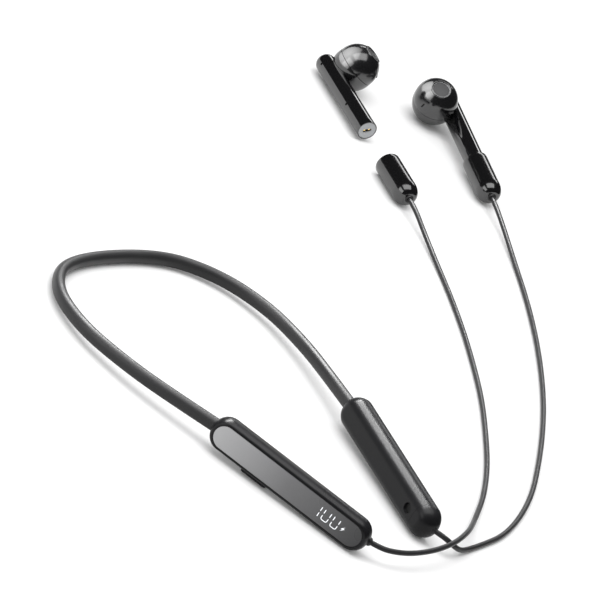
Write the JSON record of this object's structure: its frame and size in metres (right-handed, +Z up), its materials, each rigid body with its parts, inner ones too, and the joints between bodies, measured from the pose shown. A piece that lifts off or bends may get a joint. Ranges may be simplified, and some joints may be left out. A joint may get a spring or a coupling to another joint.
{
  "type": "neckband earphones",
  "caption": "Neckband earphones: a flexible round band, two slim pods with a lit display, and two stem earbuds that dock in magnetic cups on free cords.",
  "frame": {"origin": "on the table under the middle of the neck opening's mouth, level with the band ends of the pods", "axes": "+Z up from the table; +Y towards the back of the band; +X from the left pod to the right pod and on towards the earbuds"},
  "size_m": [0.3483, 0.2795, 0.0204],
  "materials": {
    "soft_rubber": "satin silicone",
    "spring_wire": "drawn wire",
    "cable_jacket": "smooth",
    "pod_plastic": "fine satin",
    "dark_window": "smoked satin",
    "lit_digits": "translucent, lit",
    "circuit_board": "solder mask",
    "battery_foil": "foil pouch",
    "black_part": "moulded",
    "steel": "plain",
    "gold_contact": "gold plate",
    "magnet_nickel": "nickel plate",
    "bud_plastic": "gloss",
    "cup_plastic": "gloss",
    "grey_cap": "satin",
    "mesh_cloth": "fine acoustic mesh"
  },
  "bodies": {
    "neckband": {"band_cable": "cable_jacket", "band_core_wire": "spring_wire", "band_sleeve": "soft_rubber", "button_switch": "black_part", "charging_board": "circuit_board", "display_board": "circuit_board", "display_digits": "lit_digits", "display_window": "dark_window", "left_battery": "battery_foil", "left_board_screws": "steel", "left_contact_block": "black_part", "left_contact_pins": "gold_contact", "left_cord": "soft_rubber", "left_cord_gland": "soft_rubber", "left_cup_magnet": "magnet_nickel", "left_cup_relief": "soft_rubber", "left_cup_shell": "cup_plastic", "left_inner_shell": "pod_plastic", "left_outer_shell": "pod_plastic", "main_board": "circuit_board", "pod_microphone": "black_part", "right_battery": "battery_foil", "right_board_screws": "steel", "right_contact_block": "black_part", "right_contact_pins": "gold_contact", "right_cord": "soft_rubber", "right_cord_gland": "soft_rubber", "right_cup_magnet": "magnet_nickel", "right_cup_relief": "soft_rubber", "right_cup_shell": "cup_plastic", "right_end_cap": "pod_plastic", "right_inner_shell": "pod_plastic", "right_outer_shell": "pod_plastic", "usb_c_port": "steel", "vibration_motor": "steel"},
    "left_bud": {"left_stem_shell": "bud_plastic", "left_microphone_meshes": "mesh_cloth", "left_stem_cap": "grey_cap", "left_bud_contacts": "gold_contact", "left_bud_magnet": "magnet_nickel", "left_bud_battery": "battery_foil", "left_bud_board": "circuit_board", "left_head_shell": "bud_plastic", "left_front_cover": "bud_plastic", "left_nozzle_grille": "steel", "left_driver": "steel"},
    "right_bud": {"right_stem_shell": "bud_plastic", "right_microphone_meshes": "mesh_cloth", "right_stem_cap": "grey_cap", "right_bud_contacts": "gold_contact", "right_bud_magnet": "magnet_nickel", "right_bud_battery": "battery_foil", "right_bud_board": "circuit_board", "right_head_shell": "bud_plastic", "right_front_cover": "bud_plastic", "right_nozzle_grille": "steel", "right_driver": "steel"},
    "function_button": {"function_button": "pod_plastic"},
    "port_cover": {"port_cover": "soft_rubber"}
  },
  "joints": [
    {"name": "left_bud_slide", "type": "slide", "parent": "neckband", "child": "left_bud", "axis": [0.3746, 0.9272, 0], "range_m": [-0.0285, 0]},
    {"name": "right_bud_slide", "type": "slide", "parent": "neckband", "child": "right_bud", "axis": [0.4472, 0.8931, 0.0488], "range_m": [0, 0.0285]},
    {"name": "function_button_press", "type": "slide", "parent": "neckband", "child": "function_button", "axis": [0.013, -0.0324, 0.9994], "range_m": [0, 0.0004], "stiffness_N_per_m": 300},
    {"name": "port_cover_hinge", "type": "hinge", "parent": "neckband", "child": "port_cover", "pos_m": [0.03485, -0.03608, 0.00732], "axis": [-0.0099, -0.0335, 0.9994], "range_deg": [0, 90]}
  ]
}
